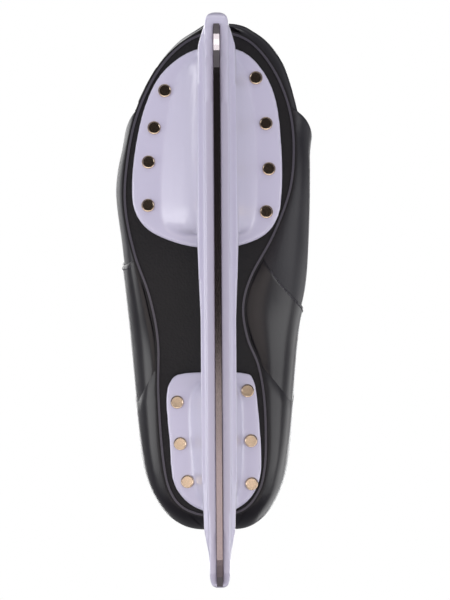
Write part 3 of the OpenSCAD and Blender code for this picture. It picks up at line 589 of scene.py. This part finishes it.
part = bmesh.new()
rows, cols = 64, 96
bmesh.ops.create_grid(part, x_segments=rows, y_segments=cols, size=0.5)
tip = [v for v in part.verts if v.co.x < -0.4999]
for v in part.verts:
    a, b = v.co.x + 0.5, v.co.y + 0.5
    reach = between(1.0, margin_u(cap_back, 1 if b > 0.5 else -1), min(1, a * 3))
    v.co = off_last(cap_edge(b) * a, (2 * b - 1) * reach, cap_stand(a, b))
tip_middle = sum((v.co for v in tip), Vector()) / len(tip)
rim = [e for e in part.edges if e.verts[0] in tip and e.verts[1] in tip]
for share, push in ((0.8, 0.5), (0.5, 1.0), (0.0, 1.2)):
    grown = bmesh.ops.extrude_edge_only(part, edges=rim)["geom"]
    rim = [g for g in grown if isinstance(g, bmesh.types.BMEdge)]
    for v in {v for e in rim for v in e.verts}:
        v.co = tip_middle + (v.co - tip_middle) * (share / (share + 0.25) if share else 0)
        v.co.y = tip_middle.y - push
bmesh.ops.remove_doubles(part, verts=part.verts, dist=0.01)
bmesh.ops.recalc_face_normals(part, faces=part.faces[:])
bm = bmesh.new()
put_in(bm, part)
cap = finish_piece("toe_cap_moulding", bm, black_plastic, "toe_cap_plastic", "toe_cap",
                   smooth=60)
thick(cap, shell_thick, 0.6)

# ---- vamp and quarters ----
# Coated synthetic leather with a fine grain, cut in three panels: the vamp over the toes and one
# quarter on each side, lasted under the insole board and stitched where they overlap.
coated_black, tree, shader = surface("coated_synthetic_leather_black", "#18161f", 0.45,
                                     Specular_IOR_Level=0.4, Coat_Weight=0.08,
                                     Coat_Roughness=0.3)
grain = texture(tree, "ShaderNodeTexVoronoi", 1.4, feature="F1")
creases = texture(tree, "ShaderNodeTexNoise", 18, {"Detail": 4.0})
relief = add(tree, "ShaderNodeMath", {1: 0.25}, {0: grain.outputs["Distance"]},
             operation="MULTIPLY")
mixed = add(tree, "ShaderNodeMath", links={0: relief.outputs[0], 1: creases.outputs["Fac"]},
            operation="ADD")
bumped(tree, shader, mixed.outputs[0], 0.5, 0.35)

throat_front = 6.55
eyestay_u = 0.17
top_edge = collar_ring - 0.05
vamp_u = 0.82
quarter_lap = 0.12
back_seam = 0.994


def throat_u(s):
    return eyestay_u * (0.72 + 0.28 * min(1, (s - throat_front) / 6))


def quarter_edge(v):
    start = throat_u(throat_front)
    return between(throat_front + 0.3, cap_back + quarter_lap,
                   clamp((v - start) / (vamp_u - start)) ** 0.8)


def top_s(v):
    """Ring of the collar's edge at v: it dips at the ankles."""
    return top_edge - 0.24 * math.sin(math.pi * clamp((abs(v) - 0.2) / 0.75)) ** 2


def vamp_back(b):
    v = abs(2 * b - 1) * vamp_u
    return throat_front if v < throat_u(throat_front) else quarter_edge(v) + 0.12


bm = bmesh.new()
sheet_over(bm, lambda b: cap_edge(b) - 0.05, vamp_back, lambda a: -vamp_u, lambda a: vamp_u,
           lambda a, b: -0.3 - 1.6 * (1 - clamp(a / 0.25)), 24, 96)
vamp = finish_piece("vamp_panel", bm, coated_black, "upper_synthetic", "vamp", smooth=60)
thick(vamp, 1.7)


def quarter_out(a, side):
    s = between(cap_back + quarter_lap, top_edge, a)
    if s < 12:
        return margin_u(s, side)
    return min(back_seam, between(margin_u(12, side), back_seam, (s - 12) / 1.2))


def quarter_stand(a, v, side):
    """The front edge lies over the vamp and the cap, and the ankle is padded out."""
    edge = (2.6 if side > 0 else 0.9) * (1 - clamp(a / 0.06)) ** 2 if v < 0.97 else 0
    s, u = between(6, 17, a), between(0.17, 0.99, v)
    ankle = 1.6 * math.exp(-((s - 14.9) / 1.1) ** 2 - ((u - 0.55) / 0.2) ** 2)
    return edge + ankle


for side, name in ((-1, "lateral"), (1, "medial")):
    bm = bmesh.new()
    throat = throat_u(throat_front)
    side_sheet(bm, side, lambda v: quarter_edge(between(throat, vamp_u, v)),
               lambda v: top_s(between(throat, 0.99, v)),
               lambda a: throat_u(between(throat_front + 0.3, top_edge, a)),
               lambda a: quarter_out(a, side), lambda a, v: quarter_stand(a, v, side), 110, 56)
    quarter = finish_piece(name + "_quarter_panel", bm, coated_black, "upper_synthetic",
                           name + "_quarter", smooth=60)
    thick(quarter, shell_thick)

# ---- overlays ----
# Panels of the same leather with a glossier coat, stitched over the quarters: eyestays up the
# throat, side panels at the arch, a stiff counter round the heel and a strip up the back.
glossy_black, tree, shader = surface("patent_synthetic_leather_black", "#19171d", 0.34,
                                     Specular_IOR_Level=0.4, Coat_Weight=0.15,
                                     Coat_Roughness=0.2)
grain = texture(tree, "ShaderNodeTexNoise", 9, {"Detail": 5.0})
bumped(tree, shader, grain.outputs["Fac"], 0.4, 0.25)
overlay_thick = 1.2
layer_gap = 0.35
overlay_stand = layer_gap + overlay_thick
thread_rise = 0.1
eyestay_w = 0.15
eyelets = 8


def stitches(bm, points, stitch=2.4, gap=0.9, wide=0.55):
    """A row of thread stitches along points given as (s, u, stand)."""
    places = [off_last(*p) for p in points]
    normals = [normal_at(p[0], p[1]) for p in points]
    along = 0.0
    for i in range(len(places) - 1):
        run = places[i + 1] - places[i]
        length = run.length
        while along < length:
            at = places[i] + run * (along / length)
            part = bmesh.new()
            bmesh.ops.create_cube(part, size=1)
            bmesh.ops.scale(part, verts=part.verts, vec=(wide, stitch, 0.4))
            bmesh.ops.bevel(part, geom=part.edges[:], offset=0.15, affect="EDGES", segments=1,
                            profile=0.5, material=-1)
            y = run.normalized()
            z = normals[i]
            x = y.cross(z).normalized()
            turn = Matrix((x, y, x.cross(y))).transposed().to_4x4()
            bmesh.ops.transform(part, verts=part.verts, matrix=Matrix.Translation(at) @ turn)
            put_in(bm, part)
            along += stitch + gap
        along -= length


panel_low = 0.8


def panel_front(t, side):
    """Front edge of the side panel, from its top (0) down to the sole (1)."""
    return between(10 if side > 0 else 8.55, 8.1, t)


def panel_back(t):
    return between(11.4, 10.0, t)


def near_sole(t):
    """The overlays thin out where they are turned in under the foot."""
    return overlay_thick * (1 - clamp((t - 0.8) / 0.2) ** 2 * 0.75)


thread_grey = surface("bonded_polyester_thread_grey", "#3f3d45", 0.7)[0]
seams = bmesh.new()


for side, name in ((-1, "lateral"), (1, "medial")):
    bm = bmesh.new()
    side_sheet(bm, side, lambda v: throat_front + 0.4,
               lambda v: top_s(eyestay_u + eyestay_w * v),
               lambda a: throat_u(between(throat_front, top_edge, a)),
               lambda a: throat_u(between(throat_front, top_edge, a)) + eyestay_w,
               overlay_stand, 60, 8)
    stay = finish_piece(name + "_eyestay_panel", bm, glossy_black, "trim_synthetic",
                        name + "_eyestay", smooth=60)
    thick(stay, overlay_thick + layer_gap, 0.45)
    for edge in (0.02, eyestay_w - 0.02):
        stitches(seams, [
            (s, side * (throat_u(s) + edge), overlay_stand + thread_rise)
            for s in [between(throat_front + 0.5, top_edge - 0.15, i / 60) for i in range(61)]])

    bm = bmesh.new()
    side_sheet(bm, side, lambda v: panel_front(v, side), panel_back,
               lambda a: between(0.44, 0.5, a), lambda a: panel_low,
               lambda a, v: near_sole(v), 28, 40)
    flank = finish_piece(name + "_side_panel_sheet", bm, glossy_black, "trim_synthetic",
                         name + "_side_panel", smooth=60)
    thick(flank, overlay_thick, 0.45)
    stitches(seams, [
        (panel_front(t, side) + 0.09, side * between(0.45, 0.78, t), near_sole(t) + thread_rise)
        for t in [0.02 + 0.93 * i / 40 for i in range(41)]])

counter_u = 0.5


def counter_low(b):
    u = between(counter_u, 1, 1 - abs(2 * b - 1))
    if u < 0.8:
        return between(11.15, 10.0, (u - counter_u) / (0.8 - counter_u))
    return between(10.0, 12.45, clamp((u - 0.8) / 0.03))


def counter_top(b):
    return 15.2 - 1.3 * (2 * b - 1) ** 2


bm = bmesh.new()
counter_stand = 1.4
sheet_over(bm, counter_low, counter_top, lambda a: counter_u, lambda a: 2 - counter_u,
           counter_stand, 28, 160)
counter = finish_piece("heel_counter_cup", bm, glossy_black, "trim_synthetic", "heel_counter",
                       smooth=60)
thick(counter, counter_stand, 0.6)
for drop in (0.12, 0.3):
    stitches(seams, [
        (counter_top(b) - drop, between(counter_u, 2 - counter_u, b), counter_stand + thread_rise)
        for b in [0.02 + 0.96 * i / 90 for i in range(91)]])

bm = bmesh.new()
strip_stand = 2.6
strip_low, strip_high = 13.4, 16.6
strip_half = (0.16, 0.12)
sheet_over(bm, lambda b: strip_low, lambda b: strip_high, lambda a: 1 - between(*strip_half, a),
           lambda a: 1 + between(*strip_half, a), strip_stand, 40, 16)
strip = finish_piece("backstay_strip", bm, coated_black, "upper_synthetic", "backstay",
                     smooth=60)
thick(strip, overlay_thick + layer_gap, 0.45)
for side in (-1, 1):
    stitches(seams, [
        (s, 1 + side * (between(*strip_half, (s - strip_low) / 3.2) - 0.015),
         strip_stand + thread_rise)
        for s in [between(strip_low + 0.1, strip_high - 0.1, i / 40) for i in range(41)]])

# ---- eyelets ----
# Nickel plated brass eyelets with rolled flanges, eight up each side of the throat.
def eyelet_s(i):
    return between(throat_front + 0.75, collar_ring - 0.45, i / (eyelets - 1))


def eyelet_u(i):
    return throat_u(eyelet_s(i)) + 0.055


def standing(part, s, u, stand):
    """Turns a part so that its z axis stands on the last at (s, u)."""
    turn = normal_at(s, u).to_track_quat("Z", "Y").to_matrix().to_4x4()
    bmesh.ops.transform(part, verts=part.verts,
                        matrix=Matrix.Translation(off_last(s, u, stand)) @ turn)


for side, name in ((-1, "lateral"), (1, "medial")):
    bm = bmesh.new()
    for i in range(eyelets):
        part = turned(bm, [(2.35, -2.2), (2.7, -2.2), (2.7, 0), (4.0, 0), (3.95, 0.45),
                           (3.4, 0.75), (2.7, 0.7), (2.35, 0.2), (2.35, -2.2)], 28)
        standing(part, eyelet_s(i), side * eyelet_u(i), overlay_stand)
        put_in(bm, part)
    finish_piece(name + "_eyelet_row", bm, nickel_plate, "nickel", name + "_eyelets")


# ---- lace ----
# One flat woven polyester lace, off-white: it starts as a bar under the lowest eyelets, crosses
# over and under up the throat, bunches in each eyelet and ends tucked behind the top ones.
lace_d = 2.4
over = overlay_stand + 1 + lace_d / 2 + 0.2
under = -shell_thick - 0.2 - lace_d / 2 - 0.2
lace_white, tree, shader = surface("woven_polyester_white", "#dddad8", 0.75, Sheen_Weight=0.2)
weave = texture(tree, "ShaderNodeTexVoronoi", 0.7)
bumped(tree, shader, weave.outputs["Distance"], 0.25, 0.6)


def crossing(i, side, middle):
    """From eyelet i on one side to the underside of eyelet i + 1 on the other."""
    s0, s1 = eyelet_s(i), eyelet_s(i + 1)
    u0, u1 = side * eyelet_u(i), -side * eyelet_u(i + 1)
    e0, e1 = side * throat_u(s0), -side * throat_u(s1)
    return [(s0, u0, 0), (s0, u0, over - 0.3), (between(s0, s1, 0.12), u0 * 0.86, over),
            (between(s0, s1, 0.25), e0 * 0.86, over - 0.9), (between(s0, s1, 0.5), 0, middle),
            (between(s0, s1, 0.75), e1 * 0.75, under + 0.1),
            (between(s0, s1, 0.9), u1 * 0.9, under), (s1, u1, under + 0.4)]


def tube(bm, path, wide, high, ups, sides, steps=3):
    """A closed tube on a smooth curve; its section is wide across and high along each up."""
    line, spans = [], []
    ends = [path[0]] + path + [path[-1]]
    for i in range(len(path) - 1):
        for k in range(steps):
            t = k / steps
            line.append(curve(*ends[i:i + 4], t))
            spans.append((between(wide[i], wide[i + 1], t), between(high[i], high[i + 1], t),
                          between(ups[i], ups[i + 1], t)))
    line.append(path[-1])
    spans.append((wide[-1], high[-1], ups[-1]))
    part = bmesh.new()
    loops = []
    for i, at in enumerate(line):
        run = (line[min(i + 1, len(line) - 1)] - line[max(i - 1, 0)]).normalized()
        half, rise, up = spans[i]
        x = run.cross(up).normalized()
        turn = Matrix((x * half, x.cross(run) * rise, run)).transposed().to_4x4()
        made = bmesh.ops.create_circle(part, segments=sides, radius=1,
                                       matrix=Matrix.Translation(at) @ turn,
                                       cap_ends=i in (0, len(line) - 1))
        loops.append(made["verts"])
    for a, b in zip(loops, loops[1:]):
        for k in range(sides):
            m = (k + 1) % sides
            part.faces.new((a[k], a[m], b[m], b[k]))
    bmesh.ops.recalc_face_normals(part, faces=part.faces[:])
    put_in(bm, part)


# half width and half height of the lace at each point of a crossing: it bunches in the eyelets
lace_wide = (1.1, 1.3, 2.4, 2.9, 3.0, 2.9, 2.2, 1.2)
lace_high = (1.1, 1.1, 0.85, 0.75, 0.75, 0.75, 0.85, 1.1)
bm = bmesh.new()
for start in (-1, 1):
    s0 = eyelet_s(0)
    path = [(s0 - 0.02, start * (0.004 + k / 3 * 0.9 * eyelet_u(0)), under) for k in range(4)]
    path.append((s0, start * eyelet_u(0), under + 0.4))
    for i in range(eyelets - 1):
        side = start if i % 2 == 0 else -start
        path += crossing(i, side, over - 1.6 if start > 0 else under + 0.9)
    wide = [2.6, 2.6, 2.6, 2.2, 1.2] + list(lace_wide) * (eyelets - 1)
    high = [0.8, 0.8, 0.8, 0.9, 1.1] + list(lace_high) * (eyelets - 1)
    ups = [normal_at(p[0], p[1]) for p in path]
    tube(bm, [off_last(*p) for p in path], wide, high, ups, 12, 3)
finish_piece("lace", bm, lace_white, "lace_cord", "laces", smooth=80)

# ---- tongue ----
# Felt and foam in a skin of coated synthetic leather, 8 mm thick. It is fixed under the vamp at
# its front end and its top folds forwards over the laces, so it bends at the collar.
tongue_u = 0.27
tongue_front = 6.3
tongue_stand = -shell_thick - 3.6
tongue_thick = 8


def stuffed(made, voxel, pressure, cap, remesh=True):
    """Remeshes a soft piece, swells it with its stuffing and smooths it; cap is in millimetres."""
    if remesh:
        skin = made.modifiers.new("skin", "REMESH")
        skin.mode = "VOXEL"
        skin.voxel_size = voxel * metre
    solid(made)
    before = [v.co.copy() for v in made.data.vertices]
    stuffing = made.modifiers.new("stuffing", "CLOTH")
    stuffing.settings.use_pressure = True
    stuffing.settings.uniform_pressure_force = pressure
    stuffing.settings.effector_weights.gravity = 0
    for step in range(1, 21):
        bpy.context.scene.frame_set(step)
    solid(made)
    bpy.context.scene.frame_set(1)
    for v, was in zip(made.data.vertices, before):
        move = v.co - was
        if move.length > cap * metre:
            v.co = was + move.normalized() * cap * metre
    fuller = made.modifiers.new("fuller", "SUBSURF")
    fuller.levels = fuller.render_levels = 1
    solid(made)
    made.data.shade_smooth()


def tongue_wide(s):
    return tongue_u * between(0.8, 1, clamp((s - tongue_front) / 10.5)) * 0.97


bm = bmesh.new()
sheet_over(bm, lambda b: throat_front - 0.2,
           lambda b: last_ring - 0.12 - 0.5 * abs(2 * b - 1) ** 3,
           lambda a: -tongue_wide(between(tongue_front, last_ring, a)),
           lambda a: tongue_wide(between(tongue_front, last_ring, a)), tongue_stand - 1.0, 60, 24)
tongue = finish_piece("tongue_padded", bm, coated_black, "upper_synthetic", "tongue", "tongue_top",
                      body=None, smooth=80)
wall = tongue.modifiers.new("wall", "SOLIDIFY")
wall.thickness = (tongue_thick - 2) * metre
wall.offset = -1
stuffed(tongue, 3, 4, 1.2)
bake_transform(tongue)

# ---- collar ----
# A padded roll of soft synthetic leather sewn round the opening, from one eyestay past the heel
# to the other; it gathers a little at the ankles.
roll_wide = 6.9
roll_high = 4.6
roll_steps = 72
bm = bmesh.new()
path, wide, high = [], [], []
for i in range(roll_steps + 1):
    u = between(tongue_u + 0.03, 2 - tongue_u - 0.03, i / roll_steps)
    path.append(off_last(top_s(u if u < 1 else 2 - u), u, 0.9 - roll_wide)
                + Vector((0, 0, roll_high - 2.4)))
    end = clamp(min(i, roll_steps - i) / 3)
    gather = 1 + 0.03 * math.sin(i * 2.1)
    wide.append(roll_wide * gather * between(0.55, 1, end))
    high.append(roll_high * gather * between(0.6, 1, end))
tube(bm, path, wide, high, [Vector((0, 0, 1))] * len(path), 24, 3)
collar = finish_piece("collar_roll", bm, coated_black, "binding_synthetic", "collar_binding",
                      smooth=80)
stuffed(collar, 2, 3, 0.4, remesh=False)

# ---- padding and lining ----
# Foam sheets glued inside the quarters, faced with a brushed grey knit that wears against the
# foot.
foam_front, lining_front = 6.9, 3.4
throat_side = tongue_u + 0.03
middle_gap = 0.012
inner_low, inner_back = 0.65, 0.985
foam_thick = 4.5
lining_thick = 1.2
soft_gap = 5.4 * layer_gap
foam_stand = -shell_thick - soft_gap
lining_stand = foam_stand - foam_thick - soft_gap
grey_knit, tree, shader = surface("brushed_knit_grey", "#4a4850", 0.9, Sheen_Weight=0.3)
knit = texture(tree, "ShaderNodeTexVoronoi", 1.0)
bumped(tree, shader, knit.outputs["Distance"], 0.3, 0.6)
cream_foam, tree, shader = surface("open_cell_foam_cream", "#8d887c", 0.95)
cells = texture(tree, "ShaderNodeTexVoronoi", 0.8)
bumped(tree, shader, cells.outputs["Distance"], 0.4, 0.7)


def inner_u(s):
    """Outer edge of foam and lining: above the sole, and then behind the heel."""
    return min(inner_back, between(inner_low, inner_back, max(0, s - 12.1) / 0.9))


for side, name in ((-1, "lateral"), (1, "medial")):
    bm = bmesh.new()
    side_sheet(bm, side, lambda v: foam_front,
               lambda v: top_s(between(throat_side, 1, v)) - 0.2,
               lambda a: throat_side, lambda a: inner_u(between(foam_front, collar_ring, a)),
               foam_stand - 0.2, 40, 24)
    foam = finish_piece(name + "_foam", bm, cream_foam, "foam", name + "_padding", smooth=80)
    thick(foam, foam_thick - 0.4, 0.8)

def lining_top(a):
    """Inner edge of the lining: at the middle over the toes, and beside the tongue behind them."""
    s = between(lining_front, collar_ring, a)
    if s < 5.2:
        return middle_gap
    return min(throat_side, between(middle_gap, throat_side, (s - 5.2) / 0.7))


bm = bmesh.new()
for side in (-1, 1):
    side_sheet(bm, side, lambda v: lining_front,
               lambda v: top_s(between(tongue_u, 1, v)) - 0.2,
               lining_top, lambda a: inner_u(between(lining_front, collar_ring, a)),
               lining_stand, 70, 30)
lining = finish_piece("lining_knit", bm, grey_knit, "lining_cloth", "lining", smooth=80)
thick(lining, lining_thick, 0.3)

# ---- inside the sole ----
# Pressed fibre filler and insole board, and a removable foam footbed with a knit face.
pressed_fibre, tree, shader = surface("pressed_cellulose_board", "#8f7b5e", 0.85)
fibre = texture(tree, "ShaderNodeTexNoise", 1.5, {"Detail": 6.0})
bumped(tree, shader, fibre.outputs["Fac"], 0.2, 0.5)
repaint(pressed_fibre, "bottom_filler", "insole_board")
bm = bmesh.new()
bed_low = board_high + 1.8
plate(bm, inset(sole_outline, 7.5), bed_low, bed_low + 4)
footbed = finish_piece("footbed_foam", bm, grey_knit, "insole_foam", "footbed")
round_edges(footbed, 1.6, 4, 60)

# ---- tendon guard ----
# A flexible plastic shield covered in the upper's leather, with a soft pad inside. It leans
# back from a leather strip sewn over the collar.
guard_side = 0.68


def guard_low(b):
    return collar_ring + 0.45 + 0.2 * abs(2 * b - 1) ** 6


def guard_high(b):
    return last_ring - 0.05 - 0.45 * abs(2 * b - 1) ** 4


def guard_stand(a, b):
    ribs = 0.5 * max(0, math.sin(a * math.pi * 7)) ** 2
    return 0.4 + ribs * clamp((1 - abs(2 * b - 1)) * 5) * clamp(a * 8) * clamp((1 - a) * 8)


bm = bmesh.new()
sheet_over(bm, guard_low, guard_high, lambda a: between(guard_side, guard_side + 0.02, a),
           lambda a: 2 - between(guard_side, guard_side + 0.02, a), guard_stand, 56, 56)
guard = finish_piece("tendon_guard_shield", bm, coated_black, "upper_synthetic", "tendon_guard",
                     body="tendon_guard", smooth=70)
thick(guard, 2.4, 0.8)
bm = bmesh.new()
sheet_over(bm, lambda b: guard_low(b) + 0.08, lambda b: guard_high(b) - 0.12,
           lambda a: between(0.7, 0.72, a), lambda a: 2 - between(0.7, 0.72, a), -3.2, 30, 30)
pad = finish_piece("tendon_guard_soft_pad", bm, grey_knit, "foam", "tendon_guard_pad",
                   body="tendon_guard", smooth=80)
wall = pad.modifiers.new("wall", "SOLIDIFY")
wall.thickness = 4 * metre
wall.offset = -1
stuffed(pad, 2.5, 4, 0.6)
bm = bmesh.new()
sheet_over(bm, lambda b: 16.45, lambda b: 17.85, lambda a: 0.74, lambda a: 1.26,
           lambda a, b: between(strip_stand + 0.5, 1.9, clamp(a * 2.2)), 30, 30)
hinge = finish_piece("tendon_guard_hinge_strip", bm, coated_black, "upper_synthetic", body=None,
                     smooth=80)
thick(hinge, 0.9, 0.3)
solid(hinge)
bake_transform(hinge)

finish_piece("seam_stitches", seams, thread_grey, "trim_synthetic", smooth=80)
